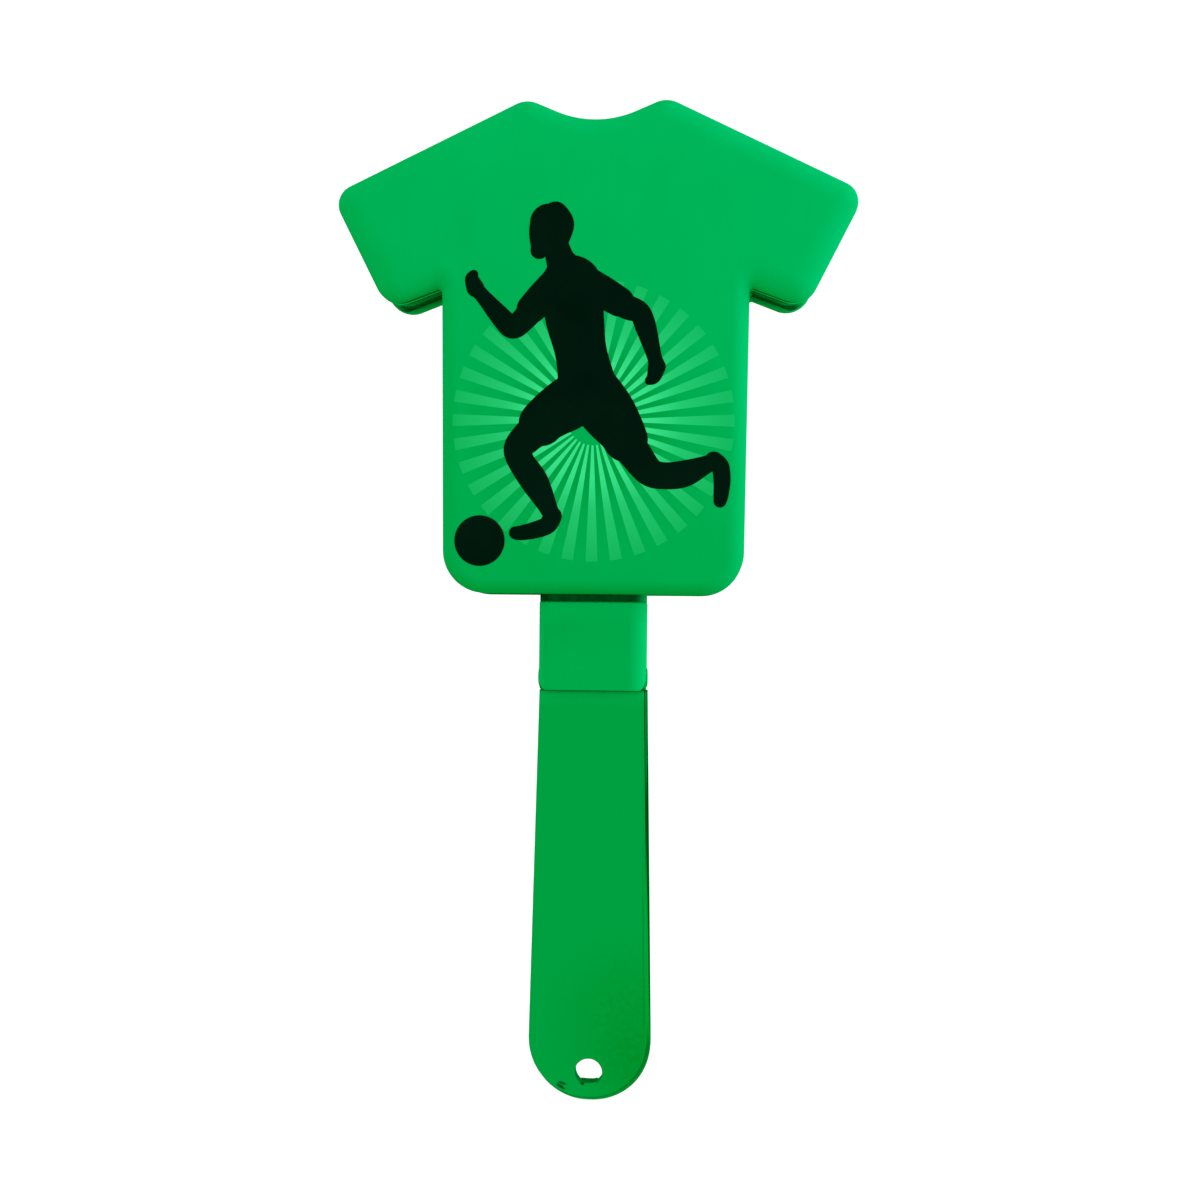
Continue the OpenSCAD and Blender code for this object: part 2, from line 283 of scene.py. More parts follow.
# ---------------------------------------------------------------------- leaf
def leaf(name, trim=0.0, more=0.0):
    """One leaf, closed, with the hinge pin at the origin: shell, ribs and wrist in one."""
    s = shirt(HEM_H, trim, more)
    floor, soft, lip = LEAF_D - LEAF_WALL, 0.6, 0.3
    profile = [(RIM_WALL + soft + 0.4, floor)]
    profile += [(RIM_WALL + soft * (1 - math.sin(t)), floor - soft * (1 - math.cos(t))) for t in quarter(5)]
    profile += [(RIM_WALL - lip * (1 - math.cos(t)), lip * (1 - math.sin(t))) for t in quarter(3)]
    profile += [(lip * (1 - math.sin(t)), lip * (1 - math.cos(t))) for t in quarter(3)]
    rings = [[(x, -RIM_Y - depth, z) for x, z in outline(s, d)] for d, depth in profile]
    half = [SIDE_W, CUFF_W, SLEEVE_W, SHOULDER_W, NECKLINE_W]
    widths = half + half[::-1] + [HEM_W]
    edge = [(1 - math.cos(t), LEAF_D - EDGE_D + EDGE_D * math.sin(t)) for t in quarter(24)] + [(1.08, LEAF_D)]
    rings += [[(x, -RIM_Y - depth, z) for x, z in pillow(s, widths, t)] for t, depth in edge]
    shell = loft(name, rings)

    # ribs inside the hollow, their free edges eased
    def rib(pts):
        lo, hi = -RIM_Y - LEAF_D + LEAF_WALL - 0.4, -RIM_Y - 0.5
        (x0, z0), (x1, z1) = pts
        e = 0.25
        return loft("rib", [
            [(x0, lo, z0), (x1, lo, z0), (x1, lo, z1), (x0, lo, z1)],
            [(x0, hi - e, z0), (x1, hi - e, z0), (x1, hi - e, z1), (x0, hi - e, z1)],
            [(x0 + e, hi, z0 + e), (x1 - e, hi, z0 + e), (x1 - e, hi, z1 - e), (x0 + e, hi, z1 - e)],
        ])

    ribs = None
    spans = []
    for k in range(4):
        z1 = HEM_H + RIM_WALL + RIB_PITCH * (k + 1)
        spans.append(((-SLEEVE_HALF, z1 - RIB_T), (SLEEVE_HALF, z1)))
    for x in (-CHEST_HALF + 0.6, -SIDE_IN - EAR_T / 2, SIDE_IN + EAR_T / 2, CHEST_HALF - 0.6):
        spans.append(((x - RIB_T / 2, HEM_H), (x + RIB_T / 2, NECK_H)))
    for span in spans:
        ribs = rib(span) if ribs is None else add(ribs, rib(span))
    room = [(RIM_WALL - 0.4, 0.4), (RIM_WALL - 0.4, 4.2), (RIM_WALL + 0.6, LEAF_D - LEAF_WALL + 0.45)]
    keep(ribs, loft("room", [[(x, -RIM_Y - depth, z) for x, z in outline(s, d)] for d, depth in room]))
    add(shell, ribs)
    add(shell, wrist())
    return shell


def wrist_ring(half, front, back, r, z, n=14):
    """Level section of the wrist: round front edges, nearly square back edges."""
    e, rx, ry = 0.25, 1.1 * r, 0.65 * r
    pts = []
    for cx, cy, ax, ay, a0 in (
        (half - e, back - e, e, e, 0.0), (-half + e, back - e, e, e, 0.5),
        (-half + rx, front + ry, rx, ry, 1.0), (half - rx, front + ry, rx, ry, 1.5),
    ):
        for k in range(n + 1):
            w = math.pi * (a0 + 0.5 * k / n)
            pts.append((cx + ax * math.cos(w), cy + ay * math.sin(w), z))
    return pts


def wrist():
    """Square wrist under the hem with one outer and one inner hinge ear."""
    low_x, low_y, low_z, top = 0.2, 0.12, 0.5, 0.4
    rings = []
    for t in reversed(quarter(8)):
        rings.append(wrist_ring(WRIST_HALF - low_x * (1 - math.cos(t)), -WRIST_Y + low_y * (1 - math.cos(t)), -GAP,
                                WRIST_R, WRIST_LOW + low_z * (1 - math.sin(t))))
    for t in quarter(8):
        rings.append(wrist_ring(WRIST_HALF - top * (1 - math.cos(t)), -WRIST_Y + top * (1 - math.cos(t)), -GAP,
                                WRIST_R - 0.6 * top * (1 - math.cos(t)), WRIST_TOP - top * (1 - math.sin(t))))
    body = loft("wrist", rings)
    neck = loft("neck", [wrist_ring(WRIST_HALF - 0.1, -WRIST_Y + GROOVE_D, -GAP, WRIST_R - 0.3, z)
                         for z in (WRIST_TOP - 3.0, WRIST_END)])
    add(body, neck)
    cut(body, box("channel", (-SIDE_IN, -WALL_IN, -10), (SIDE_IN, 2, 30)))

    def lip(z):
        return (-LIP_D + z * math.sin(OPEN_MAX)) / math.cos(OPEN_MAX)

    z_in = (LIP_D - WALL_IN * math.cos(OPEN_MAX)) / math.sin(OPEN_MAX)
    cut(body, prism("lip", [(lip(-4), -4), (2, -4), (2, z_in + 3), (-GAP, z_in + 3), (-WALL_IN, z_in)], -20, 20, "X"))
    add(body, prism("web", [(-WALL_IN - 0.5, 2), (-0.6, 0.5), (-GAP, 3), (-GAP, WRIST_TOP - 4), (-WALL_IN - 0.5, WRIST_TOP - 1)],
                    EAR_IN, EAR_IN + EAR_T, "X"))
    cut(body, rod("relief", RELIEF_R, SIDE_IN - 0.1, WRIST_HALF + 1))
    cut(body, rod("way", PIN_R + 0.4, -WRIST_HALF - 1, WRIST_HALF + 1))
    for x0, x1, r in ((-WRIST_HALF, -SIDE_IN, EAR_R), (EAR_IN, EAR_IN + EAR_T, EAR_IN_R)):
        ear = rod("ear", r, x0, x1, soft=0.12)
        cut(ear, rod("bore", PIN_R + PIN_CLEAR, x0 - 1, x1 + 1))
        add(body, ear)
    return body


# ---------------------------------------------------------------------- core
PEGS = [(x, PIN_Z + h) for x in (-24, 24) for h in (46, 80)]
PEGS += [(x, PIN_Z + 106) for x in (-46, 46)]
PEGS += [(0, PIN_Z + 63), (0, PIN_Z + 118), (0, 32), (0, -4)]


def core_half(name, d, shift, seam, lift, hand):
    """Half-shell of the paddle and handle, face towards -Y, outline drawn in by d."""
    s = shirt(PADDLE_LOW, SLEEVE_TRIM)

    def profile(edge):
        side = [(edge * (1 - math.sin(t)), -HALF_T + edge * (1 - math.cos(t))) for t in quarter(6)]
        return [(edge + 0.3, -HALF_T)] + side + [(0.0, -seam), (seam * 0.8, 0.0)]

    half = loft(name, [[(x + shift, y, z + PIN_Z) for x, z in outline(s, 0.3 + d + k)] for k, y in profile(0.25)])
    add(half, loft("grip", [[(x, y, z) for x, z in grip_outline(d + k, shift, lift, hand)] for k, y in profile(0.12)]))
    cut(half, prism("room", [(x, z + PIN_Z) for x, z in outline(s, 2.2)], -HALF_T + CORE_WALL, 1, "Y"))
    hollow = prism("hollow", grip_outline(1.9, 0.0, SEAM_END, hand), -HALF_T + CORE_WALL, 1, "Y")
    keep(hollow, box("under", (-50, -50, -200), (50, 50, GRIP_TOP - 2.4)))
    cut(half, hollow)
    add(half, box("shank", (-SHANK_HALF, -SHANK_T, GRIP_TOP - 2), (SHANK_HALF, -0.04, PIN_Z + PADDLE_LOW + 2)))
    add(half, prism("boss", circle(0, HOLE_Z, HOLE_R + 1.5, 64), -HALF_T + CORE_WALL - 0.3, -0.04, "Y"))
    soft = 0.35
    mouth = [(-5.0, HOLE_R + soft), (-HALF_T - 0.001, HOLE_R + soft)]
    mouth += [(-HALF_T + soft * math.sin(t), HOLE_R + soft * (1 - math.sin(math.acos(1 - math.sin(t))))) for t in quarter(6)[1:]]
    mouth += [(1.0, HOLE_R)]
    cut(half, turned_y("hole", mouth, 0, HOLE_Z))
    pin = rod("pin", PIN_R + 0.02, -20, 20)
    pin.data.transform(AT_PIN)
    cut(half, pin)
    return half


def flash(low, ragged, near, far):
    """Thin strip of flash across the lower edge of the hanging hole, its free edge ragged."""
    r, low = HOLE_R + 0.3, low - HOLE_R
    a0 = math.asin(low / r)
    chord = [(r * math.cos(a0 - k * (math.pi + 2 * a0) / 24), HOLE_Z + r * math.sin(a0 - k * (math.pi + 2 * a0) / 24)) for k in range(25)]
    chord += [(x, HOLE_Z + low + up) for x, up in ragged]
    return prism("flash", chord, -HALF_T + near, -HALF_T + far, "Y")


def core_front():
    half = core_half("core_front", SEAM_STEP, -SEAM_SHIFT, 0.3, SEAM_END, 1)
    add(half, flash(0.85, ((-1.9, 0.1), (-1.4, 0.03), (-0.5, -0.02), (0.4, 0.02), (1.1, 0.06), (1.7, 0.12)), 0.12, 0.6))
    for x, z in PEGS:
        add(half, turned_y("peg", [(-HALF_T + CORE_WALL - 0.3, 1.5), (0.7, 1.5), (1.0, 1.2)], x, z, 24))
    return half


def core_rear():
    half = core_half("core_rear", 0.0, 0.0, 0.1, 0.0, -1)
    for x, z in PEGS:
        socket = turned_y("socket", [(-HALF_T + CORE_WALL - 0.3, 2.8), (-0.04, 2.8)], x, z, 32)
        cut(socket, turned_y("well", [(-HALF_T + CORE_WALL + 0.1, 1.58), (1.0, 1.58)], x, z, 24))
        add(half, socket)
    add(half, flash(0.75, ((-2.0, 0.12), (-1.7, 0.16), (-1.3, 0.02), (-0.4, -0.03), (0.6, -0.02), (1.2, 0.03), (1.6, 0.1), (2.0, 0.02)), 0.25, 1.15))
    half.data.transform(Matrix.Rotation(math.pi, 4, "Z"))
    return half


# ---------------------------------------------------------------------- pins
def pin_sleeve():
    x0 = -WRIST_HALF - 0.05
    dome = [(x0 - HEAD_T, 0.5)]
    dome += [(x0 - HEAD_T + 0.2 * (1 - math.cos(t)), HEAD_R - 0.5 + 0.5 * math.sin(t)) for t in quarter(6)]
    ob = turned_x("pin_sleeve", dome + [(x0, HEAD_R), (x0, PIN_R), (WRIST_HALF - 0.15, PIN_R), (WRIST_HALF, PIN_R - 0.15)])
    cut(ob, rod("bore", BORE_IN, WRIST_HALF - 12, WRIST_HALF + 1))
    ob.data.transform(AT_PIN)
    return ob


def pin_plug():
    x0, x1 = WRIST_HALF + 0.05, WRIST_HALF + 0.05 + HEAD_T
    tip = WRIST_HALF - 10
    dome = [(x1 - 0.2 * (1 - math.sin(t)), HEAD_R - 0.5 * (1 - math.cos(t))) for t in quarter(6)]
    ob = turned_x("pin_plug", [(tip, BORE_IN - 0.3), (tip + 0.3, BORE_IN - 0.02), (x0, BORE_IN - 0.02), (x0, HEAD_R)] + dome + [(x1, 0.5)])
    ob.data.transform(AT_PIN)
    return ob


# --------------------------------------------------------------------- print
def face_y(x, h):
    """Height of a leaf's outer surface on the body, from its face to its rounded sides."""
    side = HEM_HALF + (CHEST_HALF - HEM_HALF) * (h - HEM_H) / (CHEST_H - HEM_H)
    d = max(0.0, min(SIDE_W, side - abs(x))) if h < CHEST_H else SIDE_W
    return -RIM_Y - (LEAF_D - EDGE_D) - EDGE_D * math.sqrt(max(0.0, 1 - (1 - d / SIDE_W) ** 2))


BURST = (0.0, 62.0)
BURST_IN, BURST_OUT = 6.0, 34.0


def burst(name, offset, width, reach, proud):
    """Straight rays of ink all round one middle, each a thin closed slab laid over the face."""
    bm = bmesh.new()
    for k in range(36):
        rows = []
        for j in range(5):
            w = math.radians(10 * k + offset + width * (j - 2) / 4)
            sx, cz = math.sin(w), math.cos(w)
            line = []
            for i in range(33):
                r = BURST_IN + (reach - BURST_IN) * (i / 32) ** 0.8
                x, h = BURST[0] + r * sx, BURST[1] + r * cz
                line.append((x, face_y(x, h), h))
            rows.append(line)
        n, m = len(rows), len(rows[0])
        over = [[bm.verts.new((x, y - proud, h)) for x, y, h in line] for line in rows]
        under = [[bm.verts.new((x, y + 0.06, h)) for x, y, h in line] for line in rows]
        for a in range(n - 1):
            for b in range(m - 1):
                bm.faces.new((over[a][b], over[a + 1][b], over[a + 1][b + 1], over[a][b + 1]))
                bm.faces.new((under[a][b], under[a][b + 1], under[a + 1][b + 1], under[a + 1][b]))
        for b in range(m - 1):
            bm.faces.new((over[0][b], over[0][b + 1], under[0][b + 1], under[0][b]))
            bm.faces.new((over[n - 1][b], under[n - 1][b], under[n - 1][b + 1], over[n - 1][b + 1]))
        for a in range(n - 1):
            bm.faces.new((over[a][0], under[a][0], under[a + 1][0], over[a + 1][0]))
            bm.faces.new((over[a][m - 1], over[a + 1][m - 1], under[a + 1][m - 1], under[a][m - 1]))
    return make(name, bm)


def hull(circles, n=28):
    """Convex outline around circles (x, z, r)."""
    pts = sorted({(round(x, 5), round(z, 5)) for cx, cz, r in circles for x, z in circle(cx, cz, r, n)})

    def chain(seq):
        out = []
        for p in seq:
            while len(out) > 1 and (out[-1][0] - out[-2][0]) * (p[1] - out[-2][1]) - (out[-1][1] - out[-2][1]) * (p[0] - out[-2][0]) <= 0:
                out.pop()
            out.append(p)
        return out[:-1]

    return chain(pts) + chain(reversed(pts))


def slab(name, outlines, proud):
    """Thin closed slab of ink in the shape of all outlines together."""
    verts, faces = [], []
    for pts in outlines:
        faces.append(list(range(len(verts), len(verts) + len(pts))))
        verts += [Vector(p) for p in pts]
    pos, _, tris, _, _, whose = delaunay_2d_cdt(verts, [], faces, 1, 1e-5)
    tris = [t for t, w in zip(tris, whose) if w]
    bm = bmesh.new()
    used = {}
    for t in tris:
        for i in t:
            if i not in used:
                y = face_y(pos[i].x, pos[i].y)
                used[i] = (bm.verts.new((pos[i].x, y - proud, pos[i].y)), bm.verts.new((pos[i].x, y + 0.06, pos[i].y)))
    edges = {}
    for t in tris:
        bm.faces.new([used[i][0] for i in t])
        bm.faces.new([used[i][1] for i in reversed(t)])
        for a, b in zip(t, t[1:] + t[:1]):
            edges[a, b] = edges.get((a, b), 0) + 1
    for a, b in edges:
        if (b, a) not in edges:
            bm.faces.new((used[b][0], used[a][0], used[a][1], used[b][1]))
    bmesh.ops.dissolve_limit(bm, angle_limit=math.radians(0.5), verts=bm.verts, edges=bm.edges)
    return make(name, bm)


def at(u, v, r):
    """Design grid of the printed figure to millimetres on the leaf's face."""
    return ((u - 598.6) * 0.2232, 19.0 + (600 - v) * 0.24, r * 0.24)


def limb(circles, n=6):
    """Outlines along a smooth run of circles, one for each short step."""
    run = []
    for i in range(len(circles) - 1):
        four = [circles[max(i - 1, 0)], circles[i], circles[i + 1], circles[min(i + 2, len(circles) - 1)]]
        for k in range(n):
            t = k / n
            run.append(tuple(0.5 * (2 * b + (c - a) * t + (2 * a - 5 * b + 4 * c - d) * t * t + (3 * b - a - 3 * c + d) * t ** 3)
                             for a, b, c, d in zip(*four)))
    run.append(circles[-1])
    return [hull(pair) for pair in zip(run, run[1:])]


def figure():
    """A plain running player with a ball, as on any sports sign."""
    limbs = [
        [(549, 222, 19), (547, 233, 18), (541, 246, 10.5), (539, 250, 9)],
        [(556, 214, 13), (562, 224, 13.5), (560, 238, 11)],
        [(557, 246, 13), (563, 262, 15), (572, 278, 22)],
        [(556, 284, 14), (574, 280, 21), (592, 284, 15)],
        [(574, 286, 31), (578, 318, 29.5), (585, 352, 26), (592, 384, 29)],
        [(558, 282, 16), (544, 296, 16), (531, 309, 15)],
        [(548, 294, 13), (524, 318, 12.5), (511, 328, 11), (499, 318, 10.5), (478, 296, 7.5), (470, 288, 8.5)],
        [(470, 288, 9), (466, 279, 7), (468, 274, 4.5)],
        [(594, 284, 16), (610, 293, 16), (626, 302, 15)],
        [(608, 294, 13), (634, 307, 12.5), (648, 313, 11), (655, 328, 10.5), (664, 356, 7.5), (667, 366, 8.5)],
        [(667, 367, 9), (664, 377, 7), (659, 381, 4.5)],
        [(592, 392, 27), (572, 404, 27), (552, 416, 24), (543, 424, 23)],
        [(598, 392, 28), (614, 412, 28), (628, 430, 24), (634, 440, 22.5)],
        [(548, 420, 18), (530, 436, 16.5), (518, 449, 14.5), (522, 463, 13.5), (536, 482, 14), (549, 504, 10), (556, 518, 8)],
        [(556, 517, 9.5), (551, 526, 9), (537, 531, 8.5), (522, 534, 7.5), (516, 534, 6.5)],
        [(628, 434, 18), (645, 455, 16.5), (660, 472, 14.5), (676, 476, 13.5), (697, 474, 13.5), (718, 466, 9.5), (730, 461, 8)],
        [(729, 461, 9.5), (736, 467, 9), (738, 481, 8.5), (737, 495, 7.5), (736, 501, 6.5)],
    ]
    shapes = [s for run in limbs for s in limb([at(*c) for c in run])]
    shapes.append(hull([at(477, 542, 25.5)], 72))
    return slab("print_figure", shapes, 0.045)


# ----------------------------------------------------------------- materials
def material(name):
    m = bpy.data.materials.new(name)
    m.use_nodes = True
    nt = m.node_tree
    nt.nodes.clear()
    out = nt.nodes.new("ShaderNodeOutputMaterial")
    bsdf = nt.nodes.new("ShaderNodeBsdfPrincipled")
    nt.links.new(bsdf.outputs[0], out.inputs[0])
    return m, nt, bsdf


def node(nt, kind, **values):
    n = nt.nodes.new(kind)
    for k, v in values.items():
        setattr(n, k, v)
    return n


def noise(nt, where, scale, detail=3.0, rough=0.55):
    n = node(nt, "ShaderNodeTexNoise")
    n.inputs["Scale"].default_value = scale
    n.inputs["Detail"].default_value = detail
    n.inputs["Roughness"].default_value = rough
    nt.links.new(where, n.inputs["Vector"])
    return n.outputs["Fac"]


def remap(nt, value, a, b, c, d):
    n = node(nt, "ShaderNodeMapRange", clamp=True)
    for i, v in zip(("From Min", "From Max", "To Min", "To Max"), (a, b, c, d)):
        n.inputs[i].default_value = v
    nt.links.new(value, n.inputs["Value"])
    return n.outputs["Result"]


def maths(nt, how, a, b=None):
    n = node(nt, "ShaderNodeMath", operation=how)
    for i, v in enumerate((a, b)):
        if v is None:
            continue
        if isinstance(v, (int, float)):
            n.inputs[i].default_value = v
        else:
            nt.links.new(v, n.inputs[i])
    return n.outputs[0]


def blend(nt, fac, a, b):
    n = node(nt, "ShaderNodeMix", data_type="RGBA")
    nt.links.new(fac, n.inputs["Factor"])
    for i, v in ((6, a), (7, b)):
        if isinstance(v, tuple):
            n.inputs[i].default_value = (*v, 1)
        else:
            nt.links.new(v, n.inputs[i])
    return n.outputs[2]


def stretched(nt, where, scale, turn):
    n = node(nt, "ShaderNodeMapping")
    n.inputs["Scale"].default_value = scale
    n.inputs["Rotation"].default_value = turn
    nt.links.new(where, n.inputs["Vector"])
    return n.outputs[0]


def near_point(nt, where, point, inner, outer):
    """1 within inner metres of a point, down to 0 at outer."""
    n = node(nt, "ShaderNodeVectorMath", operation="DISTANCE")
    nt.links.new(where, n.inputs[0])
    n.inputs[1].default_value = point
    return remap(nt, n.outputs["Value"], inner, outer, 1, 0)


def streak(nt, where, centre, long, wide, turn):
    """1 inside a ragged oval mark on the front, its middle (x, z) and half sizes in metres."""
    n = node(nt, "ShaderNodeMapping", vector_type="TEXTURE")
    n.inputs["Location"].default_value = (centre[0], 0, centre[1])
    n.inputs["Rotation"].default_value = (0, math.radians(turn), 0)
    n.inputs["Scale"].default_value = (long, 1, wide)
    nt.links.new(where, n.inputs["Vector"])
    far = node(nt, "ShaderNodeVectorMath", operation="LENGTH")
    nt.links.new(n.outputs[0], far.inputs[0])
    ragged = remap(nt, noise(nt, where, 2600, 3, 0.65), 0.3, 0.7, -0.45, 0.45)
    return remap(nt, maths(nt, "ADD", far.outputs["Value"], ragged), 0.75, 1.15, 1, 0)


def height(nt, where):
    n = node(nt, "ShaderNodeSeparateXYZ")
    nt.links.new(where, n.inputs[0])
    return n.outputs


def plastic_colour(nt, where, low, high, z0, z1):
    """Moulded colour with painted light, lighter up the part and towards +x where the light is stronger, and faint flow
    marks and pigment specks.
    """
    x, _, z = height(nt, where)
    light_falloff = maths(nt, "ADD", remap(nt, z, z0, z1, 0, 1), maths(nt, "MULTIPLY", x, 3.6))
    cloud = remap(nt, noise(nt, where, 42, 4), 0.32, 0.68, -0.12, 0.12)
    flow = remap(nt, noise(nt, stretched(nt, where, (160, 160, 34), (0, 0, 0)), 1, 3), 0.35, 0.65, -0.06, 0.06)
    fac = maths(nt, "ADD", maths(nt, "ADD", light_falloff, cloud), flow)
    under = tuple(max(0.0, 1.5 * a - 0.5 * b) for a, b in zip(low, high))
    over = tuple(1.5 * b - 0.5 * a for a, b in zip(low, high))
    colour = blend(nt, remap(nt, fac, -0.5, 1.5, 0, 1), under, over)
    speck = remap(nt, noise(nt, where, 2600, 2, 0.7), 0.66, 0.78, 0, 0.10)
    return blend(nt, speck, colour, tuple(0.72 * c for c in low))


def plastic_surface(nt, bsdf, where, rough, grain=1.0):
    """Satin skin: fine spark-eroded grain, faint handling scratches, smudged gloss."""
    smudge = remap(nt, noise(nt, where, 70, 5, 0.6), 0.3, 0.7, rough - 0.05, rough + 0.07)
    hair_a = noise(nt, stretched(nt, where, (3200, 900, 120), (0.0, 0.6, 0.0)), 1, 2)
    hair_b = noise(nt, stretched(nt, where, (140, 900, 3600), (0.0, 0.35, 0.0)), 1, 2)
    hair = maths(nt, "MAXIMUM", remap(nt, hair_a, 0.70, 0.76, 0, 1), remap(nt, hair_b, 0.71, 0.77, 0, 1))
    nt.links.new(maths(nt, "ADD", smudge, maths(nt, "MULTIPLY", hair, -0.06)), bsdf.inputs["Roughness"])
    fine = noise(nt, where, 4200, 3, 0.6)
    wave = noise(nt, where, 26, 2)
    bump = node(nt, "ShaderNodeBump")
    bump.inputs["Strength"].default_value = 0.35
    bump.inputs["Distance"].default_value = 0.00002 * grain
    nt.links.new(fine, bump.inputs["Height"])
    slow = node(nt, "ShaderNodeBump")
    slow.inputs["Strength"].default_value = 0.25
    slow.inputs["Distance"].default_value = 0.0004
    nt.links.new(wave, slow.inputs["Height"])
    nt.links.new(bump.outputs[0], slow.inputs["Normal"])
    nt.links.new(slow.outputs[0], bsdf.inputs["Normal"])
    return hair


def plastic_gloss(bsdf):
    bsdf.inputs["Specular IOR Level"].default_value = 0.0
    bsdf.inputs["Specular Tint"].default_value = (0.0, 1.0, 0.5, 1)
    bsdf.inputs["IOR"].default_value = 1.49


LEAF_LOW, LEAF_HIGH = (0.0, 0.385, 0.064), (0.0, 0.450, 0.094)
CORE_LOW, CORE_HIGH = (0.0, 0.338, 0.045), (0.0, 0.346, 0.049)
PIN_LOW, PIN_HIGH = (0.0, 0.36, 0.052), (0.0, 0.38, 0.060)


def under_sleeves(nt, x, z):
    """1 along the lower edges of the sleeves."""
    far = maths(nt, "ABSOLUTE", x)
    span = maths(nt, "MULTIPLY", remap(nt, far, 0.0378, 0.0384, 0, 1), remap(nt, far, 0.0486, 0.0508, 1, 0))
    return maths(nt, "MULTIPLY", span, maths(nt, "MULTIPLY", remap(nt, z, 0.134, 0.136, 0, 1), remap(nt, z, 0.1495, 0.1525, 1, 0)))


def downward(nt):
    """1 on faces turned downwards."""
    facing = height(nt, node(nt, "ShaderNodeTexCoord").outputs["Normal"])
    return remap(nt, facing[2], -0.80, -0.60, 1, 0)


def leaf_material(name, lean, lined, lip_shade):
    m, nt, bsdf = material(name)
    where = node(nt, "ShaderNodeTexCoord").outputs["Object"]
    colour = plastic_colour(nt, where, LEAF_LOW, LEAF_HIGH, 0.065, 0.185)
    hair = plastic_surface(nt, bsdf, where, 0.52)
    colour = blend(nt, maths(nt, "MULTIPLY", hair, 0.10), colour, (0.0, 0.50, 0.13))
    # painted light: the wrist's upper end and its side edges are painted a little paler, the right side edge most
    x, y, z = height(nt, where)
    pale = maths(nt, "MULTIPLY", remap(nt, z, 0.0655, 0.0708, 0, 1), remap(nt, z, 0.0712, 0.0716, 1, 0))
    colour = blend(nt, pale, colour, (0.0, 0.440, 0.080))
    on_wrist = remap(nt, z, 0.0712, 0.0716, 1, 0)
    colour = blend(nt, maths(nt, "MULTIPLY", on_wrist, remap(nt, x, 0.0090, 0.0108, 0, 1)), colour, (0.0, 0.475, 0.092))
    colour = blend(nt, maths(nt, "MULTIPLY", on_wrist, remap(nt, x, -0.0126, -0.0114, 1, 0)), colour, (0.0, 0.445, 0.086))
    # painted shade darkens the groove between the wrist and the hem, less at its right end
    low = remap(nt, z, 0.0712, 0.0717, 0, 1)
    high = remap(nt, z, 0.0732, 0.0738, 1, 0)
    deep = remap(nt, maths(nt, "ABSOLUTE", y), 0.0040, 0.0044, 1, 0)
    side = remap(nt, x, 0.0105, 0.0125, 1, 0.2)
    painted_shade = maths(nt, "MULTIPLY", maths(nt, "MULTIPLY", low, high), maths(nt, "MULTIPLY", deep, side))
    patchy = remap(nt, noise(nt, where, 500, 4, 0.6), 0.3, 0.7, 0.82, 0.97)
    colour = blend(nt, maths(nt, "MULTIPLY", painted_shade, patchy), colour, (0.0, 0.022, 0.0))
    # painted light and shade along the rim under the sleeves: a painted highlight on the wall next to the lip, and a
    # painted shade band on the downward faces beyond it
    deep = maths(nt, "SUBTRACT", maths(nt, "ABSOLUTE", y), maths(nt, "MULTIPLY", maths(nt, "SUBTRACT", z, 0.001 * PIN_Z), math.sin(lean)))
    lip = remap(nt, deep, 0.001 * (RIM_Y + 1.3), 0.001 * (RIM_Y + 1.6), lined, 0)
    line = maths(nt, "MULTIPLY", remap(nt, deep, 0.001 * (RIM_Y + 1.45), 0.001 * (RIM_Y + 1.7), 0, lined),
                 remap(nt, deep, 0.001 * (RIM_Y + 2.6), 0.001 * (RIM_Y + 2.95), 1, 0))
    line = maths(nt, "MULTIPLY", line, remap(nt, maths(nt, "ABSOLUTE", x), 0.0460, 0.0500, 1, 0))
    sleeves = under_sleeves(nt, x, z)
    turned = maths(nt, "MULTIPLY", sleeves, downward(nt))
    colour = blend(nt, maths(nt, "MULTIPLY", lip, turned), colour, (0.0, 0.66, 0.18))
    colour = blend(nt, maths(nt, "MULTIPLY", line, turned), colour, (0.0, 0.04, 0.002))
    # painted shade on the lip under the sleeves, all but its outer strip; up is the distance up from the sleeve's lower
    # edge
    run = Vector((CUFF_HALF - SLEEVE_TRIM - CHEST_HALF, CUFF_H - CHEST_H)).normalized()
    up = maths(nt, "ADD", maths(nt, "MULTIPLY", maths(nt, "ABSOLUTE", x), -run.y), maths(nt, "MULTIPLY", z, run.x))
    start = 0.001 * (-run.y * CHEST_HALF + run.x * (PIN_Z + CHEST_H))
    inside = remap(nt, up, start + 0.0004, start + 0.0008, 0, lip_shade)
    inside = maths(nt, "MULTIPLY", inside, remap(nt, deep, 0.001 * RIM_Y + 0.00022, 0.001 * RIM_Y + 0.00042, 1, 0))
    painted_shade = maths(nt, "MULTIPLY", inside, sleeves)
    patchy = remap(nt, noise(nt, where, 900, 4, 0.7), 0.36, 0.62, 0.66, 0.97)
    colour = blend(nt, maths(nt, "MULTIPLY", painted_shade, patchy), colour, (0.0, 0.03, 0.0))
    nt.links.new(colour, bsdf.inputs["Base Color"])
    plastic_gloss(bsdf)
    return m


